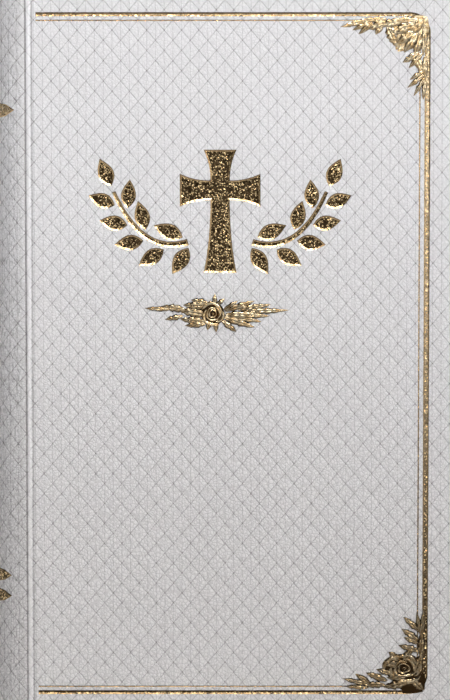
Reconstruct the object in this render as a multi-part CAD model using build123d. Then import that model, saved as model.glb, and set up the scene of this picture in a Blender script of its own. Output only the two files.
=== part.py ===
from build123d import *
import math
import os

# A hardback bible standing on its tail edges. X runs from the spine (-X) to the fore-edge,
# Y through the thickness with the front cover facing -Y, and Z up from tail to head. All in mm.

# ---- driving dimensions -------------------------------------------------------------------
height = 217.0              # covers, tail to head
thickness = 27.0            # over both covers
cover_width = 129.0         # spine crease to fore-edge
spine_depth = 12.5          # spine crease to the back of the spine

leather = 0.8
board = 2.1
infill = 0.4                # filler card, level with the thinned turned-in leather
paper = 0.15                # endpapers
square = 3.2                # how far the boards stand out past the leaves
turn_in = 14.0              # width of the leather turned over inside a board

section_count = 18
leaf_width = 132.0
lining = 0.15
mull = 0.15
liner = 0.3

# ---- derived dimensions --------------------------------------------------------------------
half = thickness / 2
back_x = -(spine_depth + cover_width) / 2
crease_x = back_x + spine_depth
fore_x = back_x + spine_depth + cover_width
cover_inner = half - leather - board - infill
block_half = cover_inner - 2 * paper
section = 2 * block_half / section_count
fold_radius = section / 2
block_z0 = square
block_z1 = height - square
spine_half = half - 0.05    # the spine's shoulder lies a hair below the cover's face
joint_gap = 0.05
board_x = crease_x + 2.4    # the board's edge beside the spine
corner_radius = 2.5
foil = 0.15
spine_clear = 0.3           # the spine leather stops short of the foot and the head

parts = {}


def slab(x0, x1, y0, y1, z0, z1):
    """An upright block between two corners."""
    return Pos((x0 + x1) / 2, (y0 + y1) / 2, (z0 + z1) / 2) * Box(x1 - x0, y1 - y0, z1 - z0)


def upright(shape):
    """Stands up what is drawn lying down: drawn Y becomes +Z, and drawn Z becomes -Y."""
    return Rot(90, 0, 0) * shape


def raised(face, low, high):
    """A prism over a face drawn lying down, between two distances from the middle plane."""
    return upright(Pos(0, 0, low) * extrude(face, high - low))


def to_back(shape):
    """The same piece on the other side of the book."""
    return mirror(shape, about=Plane.XZ)


# ---- spine: nested half ellipses from crease to crease ---------------------------------------
def half_ellipse(inset):
    """The area behind the crease inside the spine's outline, moved in by inset."""
    whole = Pos(crease_x, 0) * Ellipse(spine_depth - inset, spine_half - inset)
    behind = Pos(crease_x - spine_depth, 0) * Rectangle(2 * spine_depth, 4 * spine_half)
    return whole & behind


def spine_layer(inset, layer, z0, z1, reach=spine_half):
    """A curved sheet on the spine, layer thick, within reach of the middle plane."""
    ring = half_ellipse(inset) - half_ellipse(inset + layer)
    ring = ring & (Pos(crease_x - spine_depth, 0) * Rectangle(4 * spine_depth, 2 * reach))
    return Pos(0, 0, z0) * extrude(ring, z1 - z0)


def fold_centre(y):
    """Where a section's rounded fold is centred, so that it touches the back lining."""
    inset = leather + liner + mull + lining + fold_radius
    rise = math.sqrt(1 - (y / (spine_half - inset)) ** 2)
    return crease_x - (spine_depth - inset) * rise


# ---- text block -------------------------------------------------------------------------------
def folded_section(index):
    """One sewn section: a folded gathering with a round back and a slanted fore-edge."""
    y0 = -block_half + index * section
    y1 = y0 + section
    middle = (y0 + y1) / 2
    back = fold_centre(middle)
    fore = [fold_centre(y) - fold_radius + leaf_width for y in (y0, y1)]
    outline = Polyline((back, y1), (fore[1], y1), (fore[0], y0), (back, y0))
    fold = ThreePointArc((back, y0), (back - fold_radius, middle), (back, y1))
    face = make_face(outline + fold)
    return Pos(0, 0, block_z0) * extrude(face, block_z1 - block_z0)


for index in range(section_count):
    parts[f"section_{index + 1:02d}"] = folded_section(index)


def sewing_threads(first, last):
    """Link stitches down the back, each lying in the valley between two folds."""
    thread = 0.11
    stitches = []
    for valley in range(first, last):
        y = -block_half + valley * section
        x_before = fold_centre(y - fold_radius)
        x_after = fold_centre(y + fold_radius)
        lean = (x_after - x_before) / 2
        apart = math.hypot(fold_radius, lean)
        out = math.sqrt((fold_radius + thread + 0.01) ** 2 - apart ** 2)
        x = (x_before + x_after) / 2 - out * fold_radius / apart
        shift = out * lean / apart
        for station in range(5):
            z = block_z0 + 22 + station * (block_z1 - block_z0 - 44) / 4
            stitches.append(Pos(x, y + shift, z) * Cylinder(thread, 6))
    return Compound(children=stitches)


middle_valley = section_count // 2
parts["front_sewing_thread"] = sewing_threads(4, middle_valley)
parts["rear_sewing_thread"] = sewing_threads(middle_valley + 1, section_count - 3)

back_reach = block_half - 0.4
parts["back_lining"] = spine_layer(leather + liner + mull, lining, 8, height - 8, back_reach)
parts["mull"] = spine_layer(leather + liner, mull, 14, height - 14, back_reach)
parts["spine_liner"] = spine_layer(leather, liner, 1.2, height - 1.2, block_half)


def headband(z0, z1):
    """A bead along the folds at one end of the block."""
    bead = 1.5
    inset = leather + liner + 0.25
    band = spine_layer(inset, bead, z0, z1, block_half - 0.5)
    top = z1 if z0 > height / 2 else z0
    rim = band.edges().filter_by_position(Axis.Z, top - 0.01, top + 0.01)
    return fillet(rim.sort_by(SortBy.LENGTH)[-2:], 0.5)


parts["headband"] = headband(block_z1, block_z1 + 1.7)
parts["tailband"] = headband(block_z0 - 1.7, block_z0)


# ---- flat ornament outlines, drawn lying down with drawn Y as height ---------------------------
def leaf(x, y, length, width, angle):
    """A pointed leaf starting at x, y and pointing along angle, in degrees."""
    upper = ThreePointArc((0, 0), (length / 2, width / 2), (length, 0))
    lower = ThreePointArc((length, 0), (length / 2, -width / 2), (0, 0))
    return Pos(x, y) * Rot(0, 0, angle) * make_face(upper + lower)


def joined(faces):
    """All the given faces as one sketch."""
    total = faces[0]
    for face in faces[1:]:
        total = total + face
    return total


border_x0 = crease_x + 2.9
border_side = fore_x - 8.7
border_end = 6.5            # from head and tail to the border's outer edge


def open_frame(inset_side, inset_end, radius):
    """A rectangle with two round corners at the fore-edge, overrunning at the spine."""
    x0 = border_x0
    x1 = border_side - inset_side
    y0 = border_end + inset_end
    y1 = height - border_end - inset_end
    area = Pos((x0 + x1) / 2, (y0 + y1) / 2) * Rectangle(x1 - x0, y1 - y0)
    corners = area.vertices().sort_by(Axis.X)[-2:]
    return fillet(corners, radius)


def border_line(side, end, side_width, end_width, radius):
    """A gold line along head, fore-edge and tail, open at the spine."""
    outer = open_frame(side, end, radius)
    inner = open_frame(side + side_width, end + end_width, radius - side_width)
    return outer - inner


def corner_spray(x, y, up):
    """Leaves and a rosette in a corner; x, y is the corner and up is 1 at the head."""
    shapes = [Pos(x - 8, y - 8 * up) * Circle(4.2)]
    for length, width, angle in ((19, 6, 172), (15, 5.5, 150), (19, 6, 98), (15, 5.5, 120)):
        start_x = x - 7 - (4 if angle > 135 else 0)
        start_y = y - (7 + (4 if angle < 135 else 0)) * up
        turned = angle if angle > 135 else -angle * 1.0
        shapes.append(leaf(start_x, start_y, min(length, 15), width, turned if up > 0 else -turned))
    return joined(shapes)


emblem_x = crease_x + 57.9
emblem_top = height / 2 + 61.4
emblem_bottom = height / 2 + 24.9
cross_y = emblem_top - 12.0


def flared_arm(reach, angle):
    """One arm of the cross, widening in a curve to its end."""
    near = 2.9
    far = 4.9
    side = Spline((0, near), (reach * 0.6, near * 1.08), (reach, far))
    end = Line((reach, far), (reach, -far))
    other = Spline((reach, -far), (reach * 0.6, -near * 1.08), (0, -near))
    root = Line((0, -near), (0, near))
    return Pos(emblem_x, cross_y) * Rot(0, 0, angle) * make_face(side + end + other + root)


def on_branch(t):
    """A point on a branch's stem, out from the middle and up from the foot, and its heading."""
    start, pull, end = (9.6, 9.1), (23.6, 4.9), (32.0, 24.8)
    x = (1 - t) ** 2 * start[0] + 2 * t * (1 - t) * pull[0] + t * t * end[0]
    y = (1 - t) ** 2 * start[1] + 2 * t * (1 - t) * pull[1] + t * t * end[1]
    dx = (1 - t) * (pull[0] - start[0]) + t * (end[0] - pull[0])
    dy = (1 - t) * (pull[1] - start[1]) + t * (end[1] - pull[1])
    return x, y, math.degrees(math.atan2(dy, dx))


def beside_branch(t, side, away):
    """A point at this distance to the left (1) or right (-1) of a branch's stem."""
    x, y, heading = on_branch(t)
    turn = math.radians(heading + side * 90)
    return x + away * math.cos(turn), y + away * math.sin(turn)


def branch():
    """An olive branch right of the middle: a tapering stem and leaves stamped a little apart."""
    steps = [0.98 * i / 8 for i in range(9)]
    left = [beside_branch(t, 1, 0.95 - 0.4 * t) for t in steps]
    right = [beside_branch(t, -1, 0.95 - 0.4 * t) for t in steps]
    outline = Spline(*left) + Line(left[-1], right[-1]) + Spline(*right[::-1]) + Line(right[0], left[0])
    shapes = [make_face(outline)]
    for t in (0.04, 0.54, 0.82):
        x, y = beside_branch(t, 1, 1.75 - 0.4 * t)
        shapes.append(leaf(x, y, 9.4 - 1.0 * t, 4.5 - 0.4 * t, on_branch(t)[2] + 36))
    for t in (0.01, 0.26, 0.49, 0.70, 0.89):
        x, y = beside_branch(t, -1, 1.75 - 0.4 * t)
        shapes.append(leaf(x, y, 9.2 - 1.0 * t, 4.5 - 0.4 * t, on_branch(t)[2] - 42))
    x, y, heading = on_branch(1.0)
    turn = math.radians(heading)
    shapes.append(leaf(x + math.cos(turn), y + math.sin(turn), 8.8, 4.5, heading))
    return shapes


def emblem():
    """A Latin cross between two olive branches."""
    arms = [(12.0, 0), (12.0, 90), (12.0, 180), (cross_y - emblem_bottom, 270)]
    shapes = [Pos(emblem_x, cross_y) * Rectangle(5.8, 5.8)]
    shapes += [flared_arm(reach, angle) for reach, angle in arms]
    for piece in branch():
        shapes.append(Pos(emblem_x, emblem_bottom) * piece)
        shapes.append(Pos(emblem_x, emblem_bottom) * mirror(piece, about=Plane.YZ))
    return joined(shapes)


spray_x = crease_x + 56.6
spray_y = height / 2 + 12.8


def spray():
    """A rose with leaves that taper away to both sides."""
    shapes = [Pos(spray_x - 2, spray_y + 0.4) * Circle(4.6)]
    for side in (1, -1):
        for length, width, angle in ((21.3, 4.6, 1), (16, 4.2, 14), (15, 4.2, -14)):
            turned = angle if side > 0 else 180 - angle
            shapes.append(leaf(spray_x, spray_y, length, width, turned))
    return joined(shapes)


foil_faces = {
    "border_band": border_line(0, 0, 1.7, 1.2, 6.0),
    "border_hairline": border_line(2.9, 2.2, 0.4, 0.4, 4.2),
    "upper_corner_spray": corner_spray(border_side - 3.6, height - border_end - 2.9, 1),
    "lower_corner_spray": corner_spray(border_side - 3.6, border_end + 2.9, -1),
    "title_emblem": emblem(),
    "floral_spray": spray(),
}
foil_faces["border_hairline"] = (
    foil_faces["border_hairline"]
    - foil_faces["upper_corner_spray"]
    - foil_faces["lower_corner_spray"]
)


# ---- covers ------------------------------------------------------------------------------------
def cover_area(margin, x0, radius):
    """The cover's outline moved in by margin, from x0 to the fore-edge."""
    x1 = fore_x - margin
    area = Pos((x0 + x1) / 2, height / 2) * Rectangle(x1 - x0, height - 2 * margin)
    return fillet(area.vertices().sort_by(Axis.X)[-2:], radius) if radius else area


def crease_groove(offset, sunk, radius):
    """A round groove along the spine side of the cover's face."""
    centre_y = -half - (radius - sunk)
    return Pos(crease_x + offset, centre_y, height / 2) * Cylinder(radius, height + 2)


def cover_skin():
    """Leather over the board: face, edges, and the turned-in margin inside."""
    skin = raised(cover_area(0, crease_x + joint_gap, corner_radius), cover_inner, half)
    rim = skin.edges().filter_by_position(Axis.Y, -half - 0.01, -half + 0.01)
    skin = fillet(rim.sort_by(Axis.X)[1:], 0.6)
    skin -= raised(cover_area(leather, crease_x - 1, 1.8), half - leather - board, half - leather)
    skin -= raised(cover_area(turn_in, crease_x - 1, 0), cover_inner - 1, half - leather)
    skin -= slab(crease_x - 1, board_x, -(half - leather), -(cover_inner - 1), -1, height + 1)
    skin -= crease_groove(0, 0.35, 0.6)
    skin -= crease_groove(1.75, 0.3, 0.8)
    return skin


def board_piece():
    """The stiff board inside a cover."""
    return raised(cover_area(leather, board_x, 1.8), half - leather - board, half - leather)


def infill_piece():
    """Filler card inside the turned-in leather."""
    return raised(cover_area(turn_in, board_x, 0), cover_inner, cover_inner + infill)


def pastedown():
    """The paper glued inside a cover, bent over the board's spine edge."""
    x1 = fore_x - square
    sheet = slab(board_x - paper, x1, -cover_inner, -cover_inner + paper, 3, height - 3)
    edge = slab(board_x - paper, board_x, -(half - leather), -cover_inner, 3, height - 3)
    return sheet + edge


def flyleaf():
    """The free endpaper that lies on the first section."""
    x1 = fore_x - square - 0.6
    return slab(crease_x + 0.1, x1, -block_half - paper, -block_half, block_z0, block_z1)


def hinge_lining():
    """A cloth strip from the block's face up to the leather at the crease."""
    foot = slab(crease_x - 5, crease_x, -block_half - paper, -block_half, block_z0, block_z1)
    top = spine_half - leather - 0.02
    wall = slab(crease_x - paper, crease_x, -top, -block_half, block_z0, block_z1)
    return foot + wall


front_skin = cover_skin()
for name, face in foil_faces.items():
    piece = raised(face, half - foil, half)
    parts[name] = piece
    front_skin -= piece

parts["front_cover_skin"] = front_skin
parts["back_cover_skin"] = to_back(cover_skin())
for name, piece in (
    ("board", board_piece()),
    ("infill", infill_piece()),
    ("pastedown", pastedown()),
    ("flyleaf", flyleaf()),
    ("hinge_lining", hinge_lining()),
):
    parts[f"front_{name}"] = piece
    parts[f"rear_{name}"] = to_back(piece)


# ---- spine leather and its gold ----------------------------------------------------------------
def spine_prism(face):
    """A prism through the spine over a face drawn with X across the spine and Y as height."""
    return Pos(back_x - 1, 0, 0) * extrude(Plane.YZ * face, spine_depth)


def lozenge(y, width, tall):
    """A pointed bar centred on the spine at height y."""
    points = [(-width / 2, y), (0, y + tall / 2), (width / 2, y), (0, y - tall / 2)]
    return make_face(Polyline(*points, close=True))


spine_foil_layer = spine_layer(0, foil, 0, height)
upper_bar = height / 2 + 73.2
lower_bars = (height / 2 - 66.1, height / 2 - 72.3)
parts["spine_upper_ornament"] = spine_foil_layer & spine_prism(lozenge(upper_bar, 25.6, 6.0))
lower_shapes = joined([lozenge(y, 25.2, 5.4) for y in lower_bars])
parts["spine_lower_ornament"] = spine_foil_layer & spine_prism(lower_shapes)

spine_skin = spine_layer(0, leather, spine_clear, height - spine_clear)
for groove in (crease_groove(0, 0.35, 0.6), to_back(crease_groove(0, 0.35, 0.6))):
    spine_skin -= groove
for name in ("spine_upper_ornament", "spine_lower_ornament"):
    spine_skin -= parts[name]
parts["spine_skin"] = spine_skin

os.makedirs("parts", exist_ok=True)
for name, piece in parts.items():
    export_step(piece, f"parts/{name}.step")
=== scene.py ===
import math

import bmesh
import bpy
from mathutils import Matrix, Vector
from mathutils.geometry import delaunay_2d_cdt

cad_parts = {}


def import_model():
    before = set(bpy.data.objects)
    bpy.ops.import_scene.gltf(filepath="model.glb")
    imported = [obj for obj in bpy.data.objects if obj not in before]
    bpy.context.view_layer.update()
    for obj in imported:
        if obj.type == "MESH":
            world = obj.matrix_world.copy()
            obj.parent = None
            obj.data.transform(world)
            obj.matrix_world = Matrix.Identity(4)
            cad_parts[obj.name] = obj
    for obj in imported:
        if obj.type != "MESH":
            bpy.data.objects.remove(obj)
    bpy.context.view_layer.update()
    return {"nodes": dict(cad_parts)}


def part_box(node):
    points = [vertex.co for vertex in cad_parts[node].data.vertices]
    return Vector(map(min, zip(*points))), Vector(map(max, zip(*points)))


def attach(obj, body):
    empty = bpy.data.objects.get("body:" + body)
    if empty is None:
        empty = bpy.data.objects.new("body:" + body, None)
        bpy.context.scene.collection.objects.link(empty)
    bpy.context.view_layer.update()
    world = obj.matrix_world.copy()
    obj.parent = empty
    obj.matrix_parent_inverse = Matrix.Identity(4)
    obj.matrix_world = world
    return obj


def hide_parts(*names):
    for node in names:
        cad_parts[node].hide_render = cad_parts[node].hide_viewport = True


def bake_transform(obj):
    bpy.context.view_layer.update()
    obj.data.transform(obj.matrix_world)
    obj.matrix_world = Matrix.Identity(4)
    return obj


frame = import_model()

# A white leatherette bible with gold foil. Shapes are worked out in millimetres in the frame's
# axes (x across, y through the thickness, z up) and stored in metres.

MM = 0.001


def node_box(name):
    """A CAD node's corners in millimetres."""
    low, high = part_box(name)
    return low / MM, high / MM


cover_low, cover_high = node_box("front_cover_skin")
spine_low, spine_high = node_box("spine_skin")
block_low, block_high = node_box("section_10")

HALF = -cover_low.y                      # middle plane to the cover's face
COVER = cover_high.y - cover_low.y       # a cover's thickness
CREASE = spine_high.x
FORE = cover_high.x
HEIGHT = cover_high.z
SPINE_DEPTH = CREASE - spine_low.x
SPINE_HALF = HALF - 0.05
LEATHER = 0.8                            # thickness of the covering
LINER = 0.3                              # the card inside the spine's leather
MULL = 0.15                              # the cloth glued to the sections, and the lining over it


# ---- meshes ------------------------------------------------------------------------------------
def mesh_object(name, points, faces, material, places=None, smooth=True):
    """A mesh object from points in millimetres; places holds a stored pair for each point."""
    mesh = bpy.data.meshes.new(name)
    mesh.from_pydata([Vector(p) * MM for p in points], [], faces)
    if places is not None:
        stored = mesh.attributes.new("place", "FLOAT_VECTOR", "POINT")
        stored.data.foreach_set("vector", [c for u, v in places for c in (u, v, 0.0)])
    mesh.materials.append(material)
    obj = bpy.data.objects.new(name, mesh)
    bpy.context.scene.collection.objects.link(obj)
    tidy_normals(obj)
    for polygon in mesh.polygons:
        polygon.use_smooth = smooth
    return obj


def tidy_normals(obj):
    """Welds doubled points and turns all faces outwards."""
    bm = bmesh.new()
    bm.from_mesh(obj.data)
    bmesh.ops.remove_doubles(bm, verts=bm.verts, dist=0.001 * MM)
    bmesh.ops.recalc_face_normals(bm, faces=bm.faces)
    bm.to_mesh(obj.data)
    bm.free()


def sharpen(obj, degrees):
    """Keeps edges steeper than this crisp."""
    bm = bmesh.new()
    bm.from_mesh(obj.data)
    for edge in bm.edges:
        steep = len(edge.link_faces) == 2 and edge.calc_face_angle(0) > math.radians(degrees)
        edge.smooth = not steep
    bm.to_mesh(obj.data)
    bm.free()


def grid_faces(rows, columns, closed=False):
    """Quads between rows of points, each row columns long."""
    faces = []
    for row in range(rows - 1):
        for column in range(columns if closed else columns - 1):
            following = (column + 1) % columns
            a = row * columns + column
            b = row * columns + following
            faces.append((a, b, b + columns, a + columns))
    return faces


# ---- material nodes ------------------------------------------------------------------------------
LATTICE_WIDE = 5.16         # a diamond of the leatherette's pressed lattice
LATTICE_TALL = 6.0
LATTICE_START = 1.2         # height of its first crossing
SHADED_LEATHER = (0.22, 0.205, 0.205, 1)          # painted shade: the leather's colour where it is shaded in grooves and beside the crease
# painted shade: dark gold for the foil towards the tail and where shade falls in its grooves
GOLD_TAIL_SHADE = (0.040, 0.022, 0.009, 1)
GOLD_GROOVE_SHADE = (0.042, 0.023, 0.009, 1)
GOLD_SPARKLE = (0.95, 0.71, 0.38, 1)


def new_material(name):
    material = bpy.data.materials.new(name)
    material.use_nodes = True
    tree = material.node_tree
    return material, tree, tree.nodes["Principled BSDF"]


def add(tree, kind, inputs=None, **settings):
    """A shader node with its settings, and inputs given as values or as sockets to link."""
    made = tree.nodes.new(kind)
    for key, value in settings.items():
        setattr(made, key, value)
    for key, value in (inputs or {}).items():
        if isinstance(value, bpy.types.NodeSocket):
            tree.links.new(value, made.inputs[key])
        else:
            made.inputs[key].default_value = value
    return made


def calc(tree, operation, a, b=0.0, c=0.0):
    made = add(tree, "ShaderNodeMath", {0: a, 1: b, 2: c}, operation=operation)
    return made.outputs[0]


def ramp(tree, value, low, high, out_low=0.0, out_high=1.0):
    """value eased from out_low at low to out_high at high."""
    inputs = {"Value": value, "From Min": low, "From Max": high, "To Min": out_low, "To Max": out_high}
    made = add(tree, "ShaderNodeMapRange", inputs, interpolation_type="SMOOTHSTEP")
    return made.outputs["Result"]


def tint(tree, factor, first, second):
    """A colour between two colours or sockets."""
    inputs = {"Factor": factor, "A": first, "B": second}
    made = tree.nodes.new("ShaderNodeMix")
    made.data_type = "RGBA"
    for key, value in inputs.items():
        socket = next(s for s in made.inputs if s.name == key and s.enabled)
        if isinstance(value, bpy.types.NodeSocket):
            tree.links.new(value, socket)
        else:
            socket.default_value = value
    return next(s for s in made.outputs if s.enabled)


def noise(tree, vector, scale, detail=3.0, roughness=0.5):
    inputs = {"Vector": vector, "Scale": scale, "Detail": detail, "Roughness": roughness}
    return add(tree, "ShaderNodeTexNoise", inputs).outputs["Fac"]


def leatherette():
    """White leatherette: pebbles, a pressed lattice of fine lines, and soft tone changes. Its colour
    holds painted shade in the grooves, along the crease, on the spine beside it and towards the tail.

    The stored place is the distance over the surface from the crease, negative on the spine, and
    the height, both in millimetres.
    """
    material, tree, bsdf = new_material("leatherette")
    place = add(tree, "ShaderNodeAttribute", attribute_name="place").outputs["Vector"]
    shiver = add(tree, "ShaderNodeTexNoise", {"Vector": place, "Scale": 0.6, "Detail": 2.0})
    shift = add(tree, "ShaderNodeVectorMath", {0: shiver.outputs["Color"], 1: (0.5, 0.5, 0.5)},
                operation="SUBTRACT").outputs[0]
    shift = add(tree, "ShaderNodeVectorMath", {0: shift, "Scale": 0.26}, operation="SCALE").outputs[0]
    bent = add(tree, "ShaderNodeVectorMath", {0: place, 1: shift}, operation="ADD").outputs[0]
    axes = add(tree, "ShaderNodeSeparateXYZ", {0: bent})

    # the lattice: two families of slanting lines and a fainter upright one
    across = calc(tree, "DIVIDE", axes.outputs[0], LATTICE_WIDE)
    along = calc(tree, "DIVIDE", calc(tree, "SUBTRACT", axes.outputs[1], LATTICE_START), LATTICE_TALL)
    upright = calc(tree, "PINGPONG", calc(tree, "DIVIDE", axes.outputs[0], LATTICE_WIDE / 2), 0.5)
    families = (
        (calc(tree, "PINGPONG", calc(tree, "ADD", across, along), 0.5), 0.060, 1.0),
        (calc(tree, "PINGPONG", calc(tree, "SUBTRACT", across, along), 0.5), 0.060, 1.0),
        (upright, 0.085, 0.55),
    )
    lattice = 0.0
    for away, width, weight in families:
        line = ramp(tree, away, 0.0, width, weight, 0.0)
        lattice = calc(tree, "MULTIPLY_ADD", line, 0.75, lattice)
    patchy = ramp(tree, noise(tree, place, 0.8, 2.0), 0.3, 0.6, 0.62, 1.0)
    lattice = calc(tree, "MULTIPLY", lattice, patchy)
    beside = add(tree, "ShaderNodeSeparateXYZ", {0: place})
    bead = calc(tree, "SUBTRACT", beside.outputs[0], 0.85)
    smooth = ramp(tree, calc(tree, "ABSOLUTE", bead), 0.4, 0.85, 0.5, 1.0)
    lattice = calc(tree, "MULTIPLY", lattice, smooth)
    low_down = ramp(tree, beside.outputs[1], 30.0, 200.0, 1.0, 0.50)
    pillow = calc(tree, "MINIMUM", families[0][0], families[1][0])
    pillow = calc(tree, "MULTIPLY", ramp(tree, pillow, 0.0, 0.3), low_down)

    # pebbles of two sizes, weaker towards the head, and upright wrinkles on the spine
    wrinkled = add(tree, "ShaderNodeTexVoronoi",
                   {"Vector": bent, "Scale": 0.95, "Randomness": 1.0}, feature="DISTANCE_TO_EDGE")
    pebble = ramp(tree, wrinkled.outputs["Distance"], 0.0, 0.24)
    small = add(tree, "ShaderNodeTexVoronoi",
                {"Vector": bent, "Scale": 2.2, "Randomness": 1.0}, feature="DISTANCE_TO_EDGE")
    fine = ramp(tree, small.outputs["Distance"], 0.0, 0.3)
    grain = calc(tree, "MULTIPLY_ADD", fine, 0.34, calc(tree, "MULTIPLY", pebble, 0.66))
    grain = calc(tree, "MULTIPLY", calc(tree, "SUBTRACT", 1.0, grain), low_down)
    grain = calc(tree, "MULTIPLY", grain, smooth)
    stretched = add(tree, "ShaderNodeMapping", {"Vector": place, "Scale": (1.5, 0.42, 1.0)})
    wrinkles = ramp(tree, noise(tree, stretched.outputs[0], 1.0, 4.0, 0.65), 0.42, 0.66)
    on_spine = ramp(tree, beside.outputs[0], -4.0, -0.2, 1.1, 0.0)
    grain = calc(tree, "MULTIPLY_ADD", wrinkles, on_spine, grain)
    swell = noise(tree, place, 0.16, 2.0)

    height = calc(tree, "MULTIPLY_ADD", lattice, -0.55, swell)
    height = calc(tree, "MULTIPLY_ADD", grain, -0.95, height)
    height = calc(tree, "MULTIPLY_ADD", pillow, 0.75, height)
    bump = add(tree, "ShaderNodeBump", {"Height": height, "Strength": 1.0, "Distance": 0.000122})
    tree.links.new(bump.outputs[0], bsdf.inputs["Normal"])

    # colour: painted shade, a little darker and warmer at the tail, and dark in the grooves and beside the
    # crease
    up = ramp(tree, beside.outputs[1], 10.0, 190.0)
    body = tint(tree, up, (0.755, 0.735, 0.725, 1), (0.82, 0.81, 0.82, 1))
    # painted shade: dark along the crease and in the valley beside it
    crease_shade = ramp(tree, calc(tree, "ABSOLUTE", beside.outputs[0]), 0.0, 0.42, 0.45, 0.0)
    valley = calc(tree, "ABSOLUTE", calc(tree, "SUBTRACT", beside.outputs[0], 1.8))
    crease_shade = calc(tree, "MAXIMUM", crease_shade, ramp(tree, valley, 0.0, 0.6, 0.24, 0.0))
    # painted shade in the lattice lines and pebble grooves; the same mask also roughens them
    groove_shade = calc(tree, "MULTIPLY_ADD", lattice, 0.62, calc(tree, "MULTIPLY", grain, 0.36))
    groove_shade = calc(tree, "ADD", groove_shade, crease_shade)
    # painted shade on the spine, strongest next to the crease
    spine_edge_shade = ramp(tree, beside.outputs[0], -4.0, -0.4, 0.0, 0.20)
    spine_edge_shade = calc(tree, "MULTIPLY", spine_edge_shade, calc(tree, "LESS_THAN", beside.outputs[0], 0.0))
    groove_shade = calc(tree, "ADD", groove_shade, spine_edge_shade)
    colour = tint(tree, groove_shade, body, SHADED_LEATHER)
    tree.links.new(colour, bsdf.inputs["Base Color"])
    rough = calc(tree, "MULTIPLY_ADD", groove_shade, 0.3, 0.46)
    tree.links.new(rough, bsdf.inputs["Roughness"])
    bsdf.inputs["Specular IOR Level"].default_value = 0.42
    return material


def gold(name, colour, worn_colour, roughness, cell, scatter, sparkle=0.0, tail=1.0):
    """Foil: a metal with facets cell millimetres wide, turned apart by up to scatter.

    sparkle is the share of extra bright facets, and tail is how much of the colour is left at the
    tail of the book under a painted shade that darkens the foil downwards. The stored place's first
    number says how much painted shade a point gets, as on a side that faces down or in a groove.
    """
    material, tree, bsdf = new_material(name)
    place = add(tree, "ShaderNodeTexCoord").outputs["Object"]
    cells = add(tree, "ShaderNodeTexVoronoi", {"Vector": place, "Scale": 1.0 / (cell * MM)})
    apart = add(tree, "ShaderNodeVectorMath", {0: cells.outputs["Color"], 1: (0.5, 0.5, 0.5)},
                operation="SUBTRACT").outputs[0]
    apart = add(tree, "ShaderNodeVectorMath", {0: apart, "Scale": scatter}, operation="SCALE").outputs[0]
    facing = add(tree, "ShaderNodeNewGeometry").outputs["Normal"]
    tilted = add(tree, "ShaderNodeVectorMath", {0: facing, 1: apart}, operation="ADD").outputs[0]
    tilted = add(tree, "ShaderNodeVectorMath", {0: tilted}, operation="NORMALIZE").outputs[0]
    tree.links.new(tilted, bsdf.inputs["Normal"])
    worn = noise(tree, place, 900.0, 4.0)
    base = tint(tree, ramp(tree, worn, 0.35, 0.65), worn_colour, colour)
    # painted shade: the foil's colour is darkened towards the tail of the book
    up = add(tree, "ShaderNodeSeparateXYZ", {0: place}).outputs[2]
    shade = ramp(tree, up, 0.0, 0.2, 1.0 - tail, 0.0)
    base = tint(tree, shade, base, GOLD_TAIL_SHADE)
    chance = add(tree, "ShaderNodeSeparateXYZ", {0: cells.outputs["Color"]}).outputs[1]
    base = tint(tree, ramp(tree, chance, 0.96 - sparkle, 1.04 - sparkle), base, GOLD_SPARKLE)
    # painted shade: points on sides that face down and in grooves between raised leaves are darkened
    groove = add(tree, "ShaderNodeAttribute", attribute_name="place").outputs["Vector"]
    depth = add(tree, "ShaderNodeSeparateXYZ", {0: groove}).outputs[0]
    base = tint(tree, depth, base, GOLD_GROOVE_SHADE)
    tree.links.new(base, bsdf.inputs["Base Color"])
    rough = ramp(tree, worn, 0.3, 0.7, roughness + 0.08, roughness - 0.04)
    tree.links.new(rough, bsdf.inputs["Roughness"])
    bsdf.inputs["Metallic"].default_value = 1.0
    return material


def leaves():
    """Bible paper on the broad faces and the folds, gilt on the three trimmed edges."""
    material, tree, bsdf = new_material("leaves")
    coords = add(tree, "ShaderNodeTexCoord")
    facing = add(tree, "ShaderNodeSeparateXYZ", {0: coords.outputs["Normal"]})
    broad = ramp(tree, calc(tree, "ABSOLUTE", facing.outputs[1]), 0.6, 0.75)
    fold = ramp(tree, facing.outputs[0], -0.5, -0.3, 1.0, 0.0)
    plain = calc(tree, "MAXIMUM", broad, fold)
    place = coords.outputs["Object"]
    stretched = add(tree, "ShaderNodeMapping", {"Vector": place, "Scale": (6.0, 5200.0, 6.0)})
    lines = noise(tree, stretched.outputs[0], 1.0, 2.0, 0.6)
    cloud = noise(tree, place, 30.0, 4.0)
    fibre = noise(tree, place, 1400.0, 2.0)
    paper = tint(tree, ramp(tree, cloud, 0.2, 0.8), (0.815, 0.785, 0.70, 1), (0.845, 0.815, 0.735, 1))
    gilt = tint(tree, ramp(tree, lines, 0.35, 0.65), (0.42, 0.29, 0.11, 1), (0.86, 0.66, 0.33, 1))
    tree.links.new(tint(tree, plain, gilt, paper), bsdf.inputs["Base Color"])
    tree.links.new(calc(tree, "SUBTRACT", 1.0, plain), bsdf.inputs["Metallic"])
    tree.links.new(ramp(tree, plain, 0.0, 1.0, 0.34, 0.8), bsdf.inputs["Roughness"])
    height = tint(tree, plain, lines, fibre)
    bump = add(tree, "ShaderNodeBump", {"Height": height, "Strength": 0.5, "Distance": 0.00004})
    tree.links.new(bump.outputs[0], bsdf.inputs["Normal"])
    return material


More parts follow.
